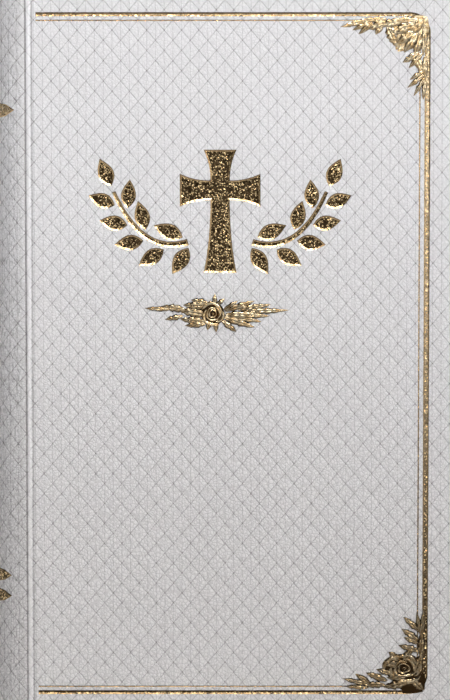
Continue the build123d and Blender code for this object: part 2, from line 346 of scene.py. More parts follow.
def paperlike(name, light, dark, grain, roughness, depth=0.00003):
    """Paper, card or board: a mottled colour with a fine fibrous surface."""
    material, tree, bsdf = new_material(name)
    place = add(tree, "ShaderNodeTexCoord").outputs["Object"]
    cloud = noise(tree, place, 45.0, 4.0)
    fibre = noise(tree, place, grain, 3.0, 0.7)
    mottle = calc(tree, "MULTIPLY_ADD", fibre, 0.5, calc(tree, "MULTIPLY", cloud, 0.5))
    tree.links.new(tint(tree, ramp(tree, mottle, 0.35, 0.65), dark, light), bsdf.inputs["Base Color"])
    bsdf.inputs["Roughness"].default_value = roughness
    bump = add(tree, "ShaderNodeBump", {"Height": fibre, "Strength": 0.6, "Distance": depth})
    tree.links.new(bump.outputs[0], bsdf.inputs["Normal"])
    return material


def woven(name, light, dark, pitch):
    """A plain open weave."""
    material, tree, bsdf = new_material(name)
    axes = add(tree, "ShaderNodeSeparateXYZ", {0: add(tree, "ShaderNodeTexCoord").outputs["Object"]})
    turns = 2 * math.pi / (pitch * MM)
    across = calc(tree, "SINE", calc(tree, "MULTIPLY", axes.outputs[1], turns))
    along = calc(tree, "SINE", calc(tree, "MULTIPLY", axes.outputs[2], turns))
    weave = calc(tree, "MAXIMUM", across, along)
    tree.links.new(tint(tree, ramp(tree, weave, -0.4, 0.8), dark, light), bsdf.inputs["Base Color"])
    bsdf.inputs["Roughness"].default_value = 0.85
    bump = add(tree, "ShaderNodeBump", {"Height": weave, "Strength": 0.6, "Distance": 0.0001})
    tree.links.new(bump.outputs[0], bsdf.inputs["Normal"])
    return material


def silk():
    """Headband silk: wound threads in white and gold by turns."""
    material, tree, bsdf = new_material("headband_silk")
    place = add(tree, "ShaderNodeAttribute", attribute_name="place").outputs["Vector"]
    axes = add(tree, "ShaderNodeSeparateXYZ", {0: place})
    pair = calc(tree, "PINGPONG", calc(tree, "DIVIDE", axes.outputs[0], 2.0), 0.5)
    colour = tint(tree, ramp(tree, pair, 0.22, 0.28), (0.86, 0.84, 0.78, 1), (0.66, 0.46, 0.16, 1))
    strand = noise(tree, place, 9.0, 2.0)
    colour = tint(tree, calc(tree, "MULTIPLY", strand, 0.3), colour, (0.4, 0.33, 0.22, 1))
    tree.links.new(colour, bsdf.inputs["Base Color"])
    bsdf.inputs["Roughness"].default_value = 0.42
    bsdf.inputs["Sheen Weight"].default_value = 0.3
    return material


LEATHERETTE = leatherette()
# painted shade: the title's flat foil is given a dark gold for the darkness it reflects, while its sloping
# sides get the bright rim gold
FOIL_FILL_SHADED = gold("foil_fill_shaded", (0.10, 0.066, 0.032, 1), (0.03, 0.019, 0.009, 1),
                 roughness=0.26, cell=0.27, scatter=0.5, sparkle=0.17)
FOIL_RIM = gold("foil_rim", (0.88, 0.63, 0.34, 1), (0.66, 0.45, 0.22, 1),
                roughness=0.24, cell=0.5, scatter=0.20, tail=0.22)
FOIL_RELIEF = gold("foil_relief", (1.0, 0.84, 0.57, 1), (0.70, 0.48, 0.24, 1),
                   roughness=0.18, cell=0.5, scatter=0.16, sparkle=0.05, tail=0.32)
FOIL_LINE = gold("foil_line", (0.98, 0.78, 0.52, 1), (0.52, 0.38, 0.22, 1),
                 roughness=0.24, cell=0.34, scatter=0.34, sparkle=0.20, tail=0.03)
LEAVES = leaves()
ENDPAPER = paperlike("endpaper", (0.85, 0.83, 0.78, 1), (0.78, 0.755, 0.70, 1), 900.0, 0.7)
BOARD = paperlike("grey_board", (0.30, 0.28, 0.25, 1), (0.17, 0.16, 0.14, 1), 700.0, 0.9, 0.0001)
CARD = paperlike("card", (0.56, 0.45, 0.30, 1), (0.44, 0.34, 0.21, 1), 800.0, 0.85)
CLOTH = woven("cloth", (0.82, 0.80, 0.73, 1), (0.55, 0.52, 0.45, 1), 0.6)
THREAD = paperlike("linen_thread", (0.84, 0.81, 0.73, 1), (0.60, 0.56, 0.48, 1), 4000.0, 0.8)
SILK = silk()


# ---- flat outlines of the foil, as loops of (x, z) ----------------------------------------------
def arc(cx, cz, radius, start, end, steps):
    """Points along an arc, angles in degrees."""
    turns = [math.radians(start + (end - start) * i / steps) for i in range(steps + 1)]
    return [(cx + radius * math.cos(t), cz + radius * math.sin(t)) for t in turns]


def placed(points, x, z, angle, flip=1):
    """Points turned by angle about the origin, mirrored if flip is -1, then moved to x, z."""
    c, s = math.cos(math.radians(angle)), math.sin(math.radians(angle))
    return [(x + flip * (px * c - pz * s), z + px * s + pz * c) for px, pz in points]


def leaf_outline(length, width):
    """A pointed leaf from the origin along +x."""
    steps = 10
    ups = [(length * i / steps, width / 2 * math.sin(math.pi * (i / steps) ** 0.85))
           for i in range(steps + 1)]
    downs = [(x, -z) for x, z in ups[-2:0:-1]]
    return ups + downs


BORDER_SIDE = FORE - 8.7
BORDER_END = 6.5
BORDER_START = CREASE + 2.9


def open_line(side, end, side_width, end_width, radius):
    """A line along head, fore-edge and tail with round corners, open at the spine."""
    def way(inset_side, inset_end, turn):
        x = BORDER_SIDE - inset_side - turn
        low = BORDER_END + inset_end + turn
        high = HEIGHT - BORDER_END - inset_end - turn
        points = [(BORDER_START, low - turn)] + arc(x, low, turn, -90, 0, 12)
        return points + arc(x, high, turn, 0, 90, 12) + [(BORDER_START, high + turn)]
    outer = way(side, end, radius)
    inner = way(side + side_width, end + end_width, radius - side_width)
    return outer + inner[::-1]


EMBLEM_X = CREASE + 57.9
EMBLEM_TOP = HEIGHT / 2 + 61.4
EMBLEM_BOTTOM = HEIGHT / 2 + 24.9
CROSS_Z = EMBLEM_TOP - 12.0


def cross_outline():
    """A Latin cross whose arms widen in a curve to flat ends."""
    near, far = 2.9, 4.9
    steps = 8
    outline = []
    for reach, angle in ((12.0, 0), (12.0, 90), (12.0, 180), (CROSS_Z - EMBLEM_BOTTOM, 270)):
        lower = []
        for i in range(1, steps + 1):
            along = near + (reach - near) * i / steps
            wide = near + (far - near) * (i / steps) ** 2.2
            lower.append((along, -wide))
        arm = [(near, -near)] + lower + [(x, -z) for x, z in lower[::-1]]
        outline += placed(arm, EMBLEM_X, CROSS_Z, angle)
    return outline


def on_branch(t):
    """A point on a branch's stem, out from the middle and up from the foot, and its heading."""
    start, pull, end = (9.6, 9.1), (23.6, 4.9), (32.0, 24.8)
    x, z = ((1 - t) ** 2 * start[i] + 2 * t * (1 - t) * pull[i] + t * t * end[i] for i in (0, 1))
    dx, dz = ((1 - t) * (pull[i] - start[i]) + t * (end[i] - pull[i]) for i in (0, 1))
    return x, z, math.degrees(math.atan2(dz, dx))


def beside_branch(t, side, away):
    """A point at this distance to the left (1) or right (-1) of a branch's stem."""
    x, z, heading = on_branch(t)
    turn = math.radians(heading + side * 90)
    return x + away * math.cos(turn), z + away * math.sin(turn)


def branch_outlines(flip):
    """An olive branch: a tapering stem and leaves stamped a little apart."""
    steps = [0.98 * i / 20 for i in range(21)]
    left = [beside_branch(t, 1, 0.95 - 0.4 * t) for t in steps]
    right = [beside_branch(t, -1, 0.95 - 0.4 * t) for t in steps]
    loops = [left + right[::-1]]
    for t in (0.04, 0.54, 0.82):
        x, z = beside_branch(t, 1, 1.75 - 0.4 * t)
        loops.append(placed(leaf_outline(9.4 - t, 4.8 - 0.4 * t), x, z, on_branch(t)[2] + 36))
    for t in (0.01, 0.26, 0.49, 0.70, 0.89):
        x, z = beside_branch(t, -1, 1.75 - 0.4 * t)
        loops.append(placed(leaf_outline(9.2 - t, 4.8 - 0.4 * t), x, z, on_branch(t)[2] - 42))
    x, z, heading = on_branch(1.0)
    turn = math.radians(heading)
    loops.append(placed(leaf_outline(8.8, 4.8), x + math.cos(turn), z + math.sin(turn), heading))
    return [[(EMBLEM_X + flip * x, EMBLEM_BOTTOM + z) for x, z in loop] for loop in loops]


# loops, width of the sloping sides, depth, and how much painted shade the sides that face down pass on to
# the floor at their foot
foil_shapes = {
    "border_band": ([open_line(0, 0, 1.7, 1.2, 6.0)], 0.42, 0.26, 0.8),
    "border_hairline": ([open_line(2.9, 2.2, 0.4, 0.4, 4.2)], 0.13, 0.09, 0.6),
    "title_emblem": ([cross_outline()] + branch_outlines(1) + branch_outlines(-1), 0.50, 0.24, 0.0),
}
# the foil's bottom and its sloping sides
foil_materials = {
    "border_band": (FOIL_LINE, FOIL_RIM),
    "border_hairline": (FOIL_LINE, FOIL_RIM),
    "title_emblem": (FOIL_FILL_SHADED, FOIL_RIM),
}


# ---- covers ------------------------------------------------------------------------------------
RIM = 1.0                   # radius of the leather's turn over the board's edge
STRIP = 3.2                 # width of the creased strip beside the spine
STRIP_COLUMNS = 41          # points across that strip
CORNER = 2.6


def groove(out):
    """How deep the leather is pressed in, at this distance from the crease."""
    crease = 0.34 * math.exp(-(out / 0.28) ** 2)
    bead = 0.06 * math.exp(-((out - 0.85) / 0.38) ** 2)
    valley = 0.30 * math.exp(-((out - 1.75) / 0.36) ** 2)
    return crease - bead + valley


def outline(inset):
    """The cover's edge moved in: tail from the crease, round the fore-edge, and head back."""
    start, cells = 0.05, STRIP_COLUMNS - 1
    columns = [CREASE + start + (STRIP - start) * i / cells for i in range(STRIP_COLUMNS)]
    turn = max(CORNER - inset, 0.2)
    x = FORE - inset - turn
    tail = [(c, inset) for c in columns] + arc(x, inset + turn, turn, -90, 0, 8)
    head = arc(x, HEIGHT - inset - turn, turn, 0, 90, 8)
    return tail + head + [(c, HEIGHT - inset) for c in columns[::-1]]


def edge_rings():
    """(inset, depth, distance over the surface) from the face round to inside the turned edge."""
    rings = []
    for i in range(7):
        t = math.radians(90 * i / 6)
        rings.append((RIM * (1 - math.sin(t)), RIM * (1 - math.cos(t)), RIM * t))
    straight = COVER - 2 * RIM
    for i in range(7):
        t = math.radians(90 * i / 6)
        over = RIM * math.pi / 2 + straight + RIM * t
        rings.append((RIM * (1 - math.cos(t)), COVER - RIM + RIM * math.sin(t), over))
    rings.append((14.0, COVER, over + 14.0))
    return rings


def inside(point, loops):
    """True if the point is within any of the loops."""
    x, z = point
    for loop in loops:
        odd = False
        for i, (x1, z1) in enumerate(loop):
            x2, z2 = loop[i - 1]
            if (z1 > z) != (z2 > z) and x < (x2 - x1) * (z - z1) / (z2 - z1) + x1:
                odd = not odd
        if odd:
            return True
    return False


def triangle_middle(corners, triangle):
    """The middle of a flat triangle, as (x, z)."""
    return tuple(sum(corners[i][axis] for i in triangle) / 3 for axis in (0, 1))


def face_triangles(edge, support, shapes):
    """The cover's flat face, cut along a line just inside its edge and the foil's outlines."""
    points, edges = [], []
    for loop in [edge, support] + [loop for loops, _, _, _ in shapes.values() for loop in loops]:
        first = len(points)
        count = len(loop)
        points += [Vector(p) for p in loop]
        edges += [(first + i, first + (i + 1) % count) for i in range(count)]
    result = delaunay_2d_cdt(points, edges, [], 0, 1e-4)
    corners, triangles = result[0], result[2]
    return corners, [t for t in triangles if inside(triangle_middle(corners, t), [edge])]


def build_cover(side, name, shapes):
    """One cover's leather as a closed skin, with its foil; side is -1 at the front."""
    rings = edge_rings()
    points, places = [], []
    for inset, depth, over in rings:
        for (x, z), (u, v) in zip(outline(inset), outline(RIM - over)):
            pressed = groove(x - CREASE) * max(0.0, 1 - depth / RIM)
            points.append((x, side * (HALF - depth - pressed), z))
            places.append((u - CREASE, v))
    width = len(outline(0))
    faces = grid_faces(len(rings), width)
    last = (len(rings) - 1) * width
    faces.append(tuple(range(last, last + width)))
    ends = [r * width for r in range(len(rings))]
    faces.append(tuple(ends + [e + width - 1 for e in ends[::-1]]))
    for i in range(STRIP_COLUMNS - 1):
        faces.append((i, i + 1, width - 2 - i, width - 1 - i))
    past_strip = slice(STRIP_COLUMNS - 1, width - STRIP_COLUMNS + 1)
    edge = outline(RIM)[past_strip]
    support = outline(RIM + 0.3)[past_strip]
    corners, triangles = face_triangles(edge, support, shapes)
    first = len(points)
    for x, z in corners:
        points.append((x, side * HALF, z))
        places.append((x - CREASE, z))
    faces += [tuple(first + i for i in triangle) for triangle in triangles]
    obj = mesh_object(name, points, faces, LEATHERETTE, places)
    press_foil(obj, side, shapes)
    sharpen(obj, 24)
    return obj


def press_foil(obj, side, shapes):
    """Sinks each foil shape into the leather with sloping sides, and copies it out as foil with painted
    shade stored on its sides that face down.
    """
    for name, (loops, rim, depth, shade) in shapes.items():
        bm = bmesh.new()
        bm.from_mesh(obj.data)
        region = []
        for face in bm.faces:
            centre = face.calc_center_median() / MM
            flat = abs(centre.y - side * HALF) < 1e-3 and len(face.verts) == 3
            if flat and inside((centre.x, centre.z), loops):
                region.append(face)
        made = bmesh.ops.inset_region(
            bm, faces=region, thickness=rim * MM, depth=-depth * MM,
            use_boundary=True, use_even_offset=True)
        slope = set(made["faces"])
        lift = Vector((0, side * 0.02, 0))
        foil_points, foil_faces, seen, slope_shade = [], [], {}, {}
        for face in region + list(slope):
            face.normal_update()
            # painted shade: sloping sides that face down, and less those that face left, are darkened; a
            # side that faces down passes shade on to the floor at its foot
            shaded = 2.6 * max(-face.normal.z, -0.4 * face.normal.x) if face in slope else 0.0
            for vert in face.verts:
                if vert not in seen:
                    seen[vert] = len(foil_points)
                    foil_points.append(vert.co / MM + lift)
                at_surface = abs(vert.co.y / MM - side * HALF) < 0.01
                share = 1.0 if at_surface else shade * (face.normal.z < -0.2)
                slope_shade[seen[vert]] = max(slope_shade.get(seen[vert], 0.0), share * min(0.95, shaded))
            foil_faces.append([seen[vert] for vert in face.verts])
        places = [(slope_shade.get(i, 0.0), 0.0) for i in range(len(foil_points))]
        bm.to_mesh(obj.data)
        bm.free()
        fill, bright = foil_materials[name]
        foil = mesh_object(name + "_foil", foil_points, foil_faces, fill, places, smooth=False)
        foil.data.materials.append(bright)
        face_foil(foil, side)
        for polygon in foil.data.polygons:
            sloping = abs(polygon.normal.y) < 0.97
            polygon.material_index = 1 if sloping else 0
        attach(foil, "front_cover")
        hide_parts(name)


def face_foil(obj, side):
    """Turns an open sheet's faces so that they look out of the cover."""
    bm = bmesh.new()
    bm.from_mesh(obj.data)
    for face in bm.faces:
        if face.normal.y * side < 0:
            face.normal_flip()
    bm.to_mesh(obj.data)
    bm.free()


front_leather = build_cover(-1, "front_cover_leather", foil_shapes)
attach(front_leather, "front_cover")
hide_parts("front_cover_skin")
back_leather = build_cover(1, "back_cover_leather", {})
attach(back_leather, "back_cover")
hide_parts("back_cover_skin")


# ---- spine ---------------------------------------------------------------------------------------
def spine_turns(reach):
    """Angles round the spine from front to rear, close together where it folds."""
    widest = math.asin(min(1.0, reach / SPINE_HALF))
    turns = {round(-widest + 2 * widest * i / 88, 6) for i in range(89)}
    fold = math.asin(1.6 / SPINE_HALF)
    turns |= {round(-fold + 2 * fold * i / 24, 6) for i in range(25)}
    return sorted(turns)


def spine_point(turn, inset):
    """A point on the spine's section at this angle, inset from the outer face."""
    x = CREASE - (SPINE_DEPTH - inset) * math.cos(turn)
    y = (SPINE_HALF - inset) * math.sin(turn)
    return x, y


def spine_arc(turns):
    """Distance over the outer face from the front crease for each angle."""
    lengths = [0.0]
    for a, b in zip(turns, turns[1:]):
        (x1, y1), (x2, y2) = spine_point(a, 0), spine_point(b, 0)
        lengths.append(lengths[-1] + math.hypot(x2 - x1, y2 - y1))
    return lengths


def spine_sheet(name, inset, layer, z0, z1, reach, material, rounding, pressed=False, beads=0.0):
    """A curved sheet on the spine with round ends."""
    turns = spine_turns(reach)
    lengths = spine_arc(turns)
    radius = min(rounding, layer / 2)
    straight = layer - 2 * radius
    end = []
    for i in range(9):
        t = math.pi * i / 8
        end.append((radius * (1 - math.cos(t)) + (straight if i > 4 else 0), radius * (1 - math.sin(t))))
    ring = [(depth, z0 + up) for depth, up in end] + [(depth, z1 - up) for depth, up in end[::-1]]
    points, places = [], []
    for turn, length in zip(turns, lengths):
        sunk = 0.34 * math.exp(-(SPINE_DEPTH * math.cos(turn) / 0.7) ** 2) if pressed else 0.0
        bulge = beads * abs(math.sin(math.pi * length / 0.5)) if beads else 0.0
        for depth, z in ring:
            outer_share = 1 - depth / layer
            x, y = spine_point(turn, inset + depth + sunk * outer_share - bulge * outer_share)
            points.append((x, y, z))
            places.append((-min(length, lengths[-1] - length), z + depth))
    count = len(ring)
    faces = grid_faces(len(turns), count, closed=True)
    faces.append(tuple(range(count)))
    faces.append(tuple(range((len(turns) - 1) * count, len(turns) * count)))
    obj = mesh_object(name, points, faces, material, places)
    sharpen(obj, 50)
    return obj


def fold_with_book(obj, slot, *nodes):
    """Hides the CAD nodes that the piece stands in for and fixes its placement into its mesh."""
    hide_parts(*nodes)
    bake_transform(obj)


spine_leather = spine_sheet("spine_leather", 0, LEATHER, spine_low.z, spine_high.z, SPINE_HALF,
                            LEATHERETTE, 0.4, pressed=True)
fold_with_book(spine_leather, "cover_leather", "spine_skin")
liner_low, liner_high = node_box("spine_liner")
spine_card = spine_sheet("spine_card", LEATHER, LINER, liner_low.z, liner_high.z, liner_high.y, CARD, 0.1)
fold_with_book(spine_card, "card", "spine_liner")
mull_low, mull_high = node_box("mull")
mull_cloth = spine_sheet("mull_cloth", LEATHER + LINER, MULL, mull_low.z, mull_high.z,
                         mull_high.y, CLOTH, 0.05)
fold_with_book(mull_cloth, "cloth", "mull")
lining_low, lining_high = node_box("back_lining")
lining_card = spine_sheet("back_lining_card", LEATHER + LINER + MULL, MULL, lining_low.z, lining_high.z,
                          lining_high.y, CARD, 0.05)
fold_with_book(lining_card, "card", "back_lining")
for band_name in ("headband", "tailband"):
    band_low, band_high = node_box(band_name)
    band = spine_sheet(band_name + "_silk", LEATHER + 0.55, 1.5, band_low.z, band_high.z,
                       band_high.y, SILK, 0.74, beads=0.1)
    fold_with_book(band, "headband_silk", band_name)


# ---- gold on the spine ---------------------------------------------------------------------------
def spine_foil(name, loops, node):
    """Foil laid over the curve of the spine; loops are drawn with x as distance round it."""
    turns = spine_turns(SPINE_HALF)
    lengths = spine_arc(turns)
    middle = lengths[-1] / 2
    samples = [(x, z) for loop in loops for x, z in loop]
    wide = max(abs(x) for x, _ in samples)
    points, edges = [], []
    for loop in loops:
        first = len(points)
        points += [Vector(p) for p in loop]
        edges += [(first + i, first + (i + 1) % len(loop)) for i in range(len(loop))]
    low = min(z for _, z in samples) - 1
    high = max(z for _, z in samples) + 1
    cuts = int(wide / 0.4)
    for i in range(-cuts, cuts + 1):
        first = len(points)
        points += [Vector((i * 0.4, low)), Vector((i * 0.4, high))]
        edges.append((first, first + 1))
    result = delaunay_2d_cdt(points, edges, [], 0, 1e-4)
    corners = result[0]
    triangles = [t for t in result[2] if inside(triangle_middle(corners, t), loops)]

    def wrapped(along, out):
        """The point this far round the spine from its middle, and this far out from its face."""
        target = along + middle
        for i in range(len(turns) - 1):
            if lengths[i + 1] >= target:
                share = (target - lengths[i]) / (lengths[i + 1] - lengths[i])
                return spine_point(turns[i] + share * (turns[i + 1] - turns[i]), -out)
        return spine_point(turns[-1], -out)

    bm = bmesh.new()
    made = [bm.verts.new((c[0], c[1], 0.0)) for c in corners]
    for triangle in triangles:
        bm.faces.new([made[i] for i in triangle])
    bm.normal_update()
    for face in bm.faces:
        if face.normal.z < 0:
            face.normal_flip()
    bmesh.ops.delete(bm, geom=[v for v in bm.verts if not v.link_faces], context="VERTS")
    bmesh.ops.inset_region(bm, faces=list(bm.faces), thickness=0.28, depth=0.1,
                           use_boundary=True, use_even_offset=True)
    bm.verts.index_update()
    flat = [tuple(v.co) for v in bm.verts]
    faces = [tuple(v.index for v in f.verts) for f in bm.faces]
    bm.free()
    bent = [(*wrapped(along, 0.01 + lift), z) for along, z, lift in flat]
    obj = mesh_object(name, bent, faces, FOIL_LINE, smooth=False)
    obj.data.materials.append(FOIL_RIM)
    for polygon in obj.data.polygons:
        lowest = min(flat[i][2] for i in faces[polygon.index])
        on_slope = lowest < 0.05
        polygon.material_index = 1 if on_slope else 0
    fold_with_book(obj, "gold_foil", node)


def pointed_bar(z, width, tall):
    """A pointed bar across the spine with a waist at its middle."""
    steps = 12
    ups = [(width * (i / steps - 0.5), z + tall / 2 * math.sin(math.pi * i / steps) ** 0.42)
           for i in range(steps + 1)]
    return ups + [(x, 2 * z - y) for x, y in ups[-2:0:-1]]


UPPER_BAR = HEIGHT / 2 + 73.2
LOWER_BARS = (HEIGHT / 2 - 66.1, HEIGHT / 2 - 72.3)
spine_foil("spine_upper_foil", [pointed_bar(UPPER_BAR, 34.2, 6.0)], "spine_upper_ornament")
spine_foil("spine_lower_foil", [pointed_bar(z, 31.2, 5.4) for z in LOWER_BARS], "spine_lower_ornament")


# ---- gold in relief --------------------------------------------------------------------------------
class Relief:
    """Raised leaves and petals on the front cover, gathered into one mesh."""

    def __init__(self, height=1.0, shade=1.0):
        self.height = height
        self.shade = shade
        self.points = []
        self.places = []
        self.faces = []

    def patch(self, rows, columns, shape):
        """A sheet over the unit square; shape gives x, z, rise and how much painted shade each point gets.
        """
        first = len(self.points)
        for i in range(rows):
            for j in range(columns):
                x, z, rise, shade_share = shape(i / (rows - 1), 2 * j / (columns - 1) - 1)
                self.points.append((x, -HALF - self.height * rise, z))
                self.places.append((min(1.0, max(0.0, self.shade * shade_share)), 0.0))
        self.faces += [tuple(first + k for k in face) for face in grid_faces(rows, columns)]

    def leaf(self, start, tip, width, lobes=0, rise=0.42, ground=0.0):
        """A veined leaf from start to tip; lobes cut its edge into teeth, ground adds painted shade over
        it all.
        """
        length = math.hypot(tip[0] - start[0], tip[1] - start[1])
        c, s = (tip[0] - start[0]) / length, (tip[1] - start[1]) / length
        veins = lobes if lobes else 3.5

        def shape(along, side):
            wide = width / 2 * math.sin(math.pi * along ** 0.8) ** 0.85
            tooth = (veins * along) % 1.0
            if lobes:
                wide *= 1.0 - 0.34 * tooth
            px = length * along
            pz = side * wide
            dome = math.sqrt(max(0.0, 1 - side * side)) * math.sin(math.pi * min(1.0, 0.1 + 0.9 * along))
            rib = 0.5 + 0.5 * math.cos(2 * math.pi * (veins * along - 0.55 * abs(side)))
            midrib = math.exp(-(side / 0.12) ** 2)
            high = rise * dome * (0.78 + 0.22 * rib) * (1 - 0.35 * midrib)
            # painted shade between the veins, along the midrib and at the leaf's edges, plus ground
            dark = 0.6 * (1 - rib) ** 3 * abs(side) + 0.8 * midrib + 1.2 * abs(side) ** 2.8 + ground
            return start[0] + px * c - pz * s, start[1] + px * s + pz * c, high - 0.02, dark

        self.patch(25, 13, shape)

    def petal(self, x, z, radius, breadth, middle, span, rise, squash=1.0):
        """A crescent ridge round x, z, from middle - span / 2 to middle + span / 2 degrees."""
        def shape(along, side):
            turn = math.radians(middle + span * (along - 0.5))
            thick = breadth / 2 * math.sin(math.pi * min(1.0, 0.04 + 0.92 * along)) ** 0.6
            out = radius * (1 + 0.20 * (along - 0.5) + 0.05 * math.sin(3 * turn + radius)) + side * thick
            high = rise * (1 - side * side) ** 0.5 * (0.7 + 0.3 * side)
            # painted shade on the petal's inner side and at its edges
            dark = 0.9 * max(0.0, -side) ** 1.5 + 0.6 * side ** 8
            return x + out * math.cos(turn), z + squash * out * math.sin(turn), high - 0.02, dark

        self.patch(17, 9, shape)

    def rose(self, x, z, radius, lean, squash=1.0):
        """Petals coiled round a bud, over a ground darkened by painted shade; squash is its height over
        its width.
        """
        def ground(along, side):
            turn = math.pi * side
            out = radius * along
            return x + out * math.cos(turn), z + squash * out * math.sin(turn), 0.06, 0.9

        self.patch(4, 33, ground)
        rings = ((5, 0.82, 0.42, 0.36), (4, 0.52, 0.32, 0.48), (3, 0.27, 0.26, 0.58))
        for count, share, breadth, rise in rings:
            for k in range(count):
                middle = lean + 360.0 * (k + 0.5 * count) / count
                reach = radius * share * (1 + 0.12 * math.sin(2.3 * k + count))
                self.petal(x, z, reach, radius * breadth, middle, 430.0 / count, rise, squash)
        self.petal(x, z, radius * 0.06, radius * 0.16, lean, 300.0, 0.62, squash)

    def build(self, name, node):
        obj = mesh_object(name, self.points, self.faces, FOIL_RELIEF, self.places)
        face_foil(obj, -1)
        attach(obj, "front_cover")
        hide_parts(node)


def upper_corner():
    """Acanthus in the upper corner, trailing along the head and down the side."""
    relief = Relief(height=1.1, shade=0.6)
    # start and tip as (in from the border's side, down from its end), then width and teeth
    leaves_down = (
        (1.2, 1.2, 10.6, 12.0, 9.0, 0), (13.0, 1.9, 24.0, 2.9, 2.0, 5), (18.0, 2.3, 27.0, 4.4, 1.9, 3),
        (17.6, 2.7, 23.4, 5.4, 1.8, 2), (17.2, 3.0, 21.4, 6.5, 1.8, 0), (14.4, 3.4, 16.4, 6.6, 2.2, 0),
        (13.2, 2.8, 19.0, 5.0, 3.0, 3), (8.6, 2.8, 15.6, 3.8, 3.2, 4), (13.0, 4.0, 10.0, 10.4, 3.4, 5),
        (9.6, 4.2, 13.0, 7.8, 3.0, 3), (3.6, 2.3, 12.4, 2.5, 2.6, 3), (5.6, 3.6, 11.4, 6.2, 3.4, 0),
        (3.6, 3.6, 9.4, 5.0, 3.0, 0), (5.0, 5.6, 10.2, 9.6, 3.4, 2), (4.0, 6.2, 8.0, 12.0, 3.4, 2),
        (2.2, 2.2, 6.8, 7.2, 3.2, 0), (2.6, 6.0, 5.0, 13.4, 3.0, 2), (1.7, 3.4, 2.2, 13.2, 2.4, 3),
        (3.4, 11.8, 8.4, 14.9, 2.6, 3), (2.4, 12.0, 6.6, 16.6, 2.2, 2),
        (4.6, 12.6, 2.0, 18.8, 2.8, 3), (1.7, 12.8, 1.8, 20.6, 2.2, 4), (1.8, 17.2, 6.3, 20.0, 1.8, 2),
        (1.8, 18.4, 7.0, 22.4, 1.8, 2), (1.7, 19.2, 5.1, 24.9, 1.7, 2), (1.6, 19.8, 2.2, 26.0, 1.5, 0),
    )
    x0, z0 = BORDER_SIDE, HEIGHT - BORDER_END
    for step, (a, b, c, d, width, lobes) in enumerate(leaves_down):
        rise, ground = (0.12, 0.3) if step == 0 else (0.34 + 0.03 * (step % 5), 0.0)
        relief.leaf((x0 - a, z0 - b), (x0 - c, z0 - d), width, lobes, rise, ground)
    relief.build("upper_corner_relief", "upper_corner_spray")


def lower_corner():
    """A rose in the lower corner, with leaves along the tail and up the side."""
    relief = Relief(height=2.3, shade=1.25)
    # start and tip as (in from the border's side, up from its end), then width and teeth
    leaves_up = (
        (0.8, 0.8, 13.0, 11.0, 9.4, 0), (1.8, 18.0, 1.3, 25.8, 1.7, 0), (2.2, 18.0, 3.4, 25.2, 1.8, 2),
        (2.2, 19.0, 7.5, 23.6, 2.4, 3), (2.6, 16.4, 8.0, 19.9, 2.6, 3), (2.6, 15.4, 7.4, 17.4, 2.2, 2),
        (2.2, 13.0, 9.0, 14.9, 2.6, 3), (2.1, 11.4, 1.8, 19.4, 2.6, 4), (7.4, 9.6, 4.6, 14.6, 3.0, 3),
        (8.0, 9.0, 13.8, 9.4, 3.2, 3), (8.0, 9.6, 11.8, 13.0, 3.0, 3), (4.6, 4.2, 1.0, 1.2, 3.2, 2),
        (6.0, 3.4, 13.6, 2.2, 3.2, 4), (4.0, 6.0, 1.6, 12.6, 3.2, 4), (6.4, 5.4, 12.4, 5.0, 3.0, 3),
        (12.0, 4.0, 18.8, 6.6, 2.6, 3), (12.6, 2.8, 20.0, 3.0, 2.4, 4), (17.0, 2.8, 25.8, 4.8, 2.0, 3),
        (17.6, 2.0, 25.2, 2.4, 1.8, 3), (17.2, 3.2, 21.8, 6.2, 2.0, 0), (10.6, 6.2, 15.6, 7.6, 2.4, 2),
    )
    x0, z0 = BORDER_SIDE, BORDER_END
    for step, (a, b, c, d, width, lobes) in enumerate(leaves_up):
        rise, ground = (0.06, 0.7) if step == 0 else (0.32 + 0.03 * (step % 5), 0.0)
        relief.leaf((x0 - a, z0 + b), (x0 - c, z0 + d), width, lobes, rise, ground)
    relief.rose(x0 - 7.1, z0 + 7.9, 5.7, 35, squash=0.78)
    relief.build("lower_corner_relief", "lower_corner_spray")


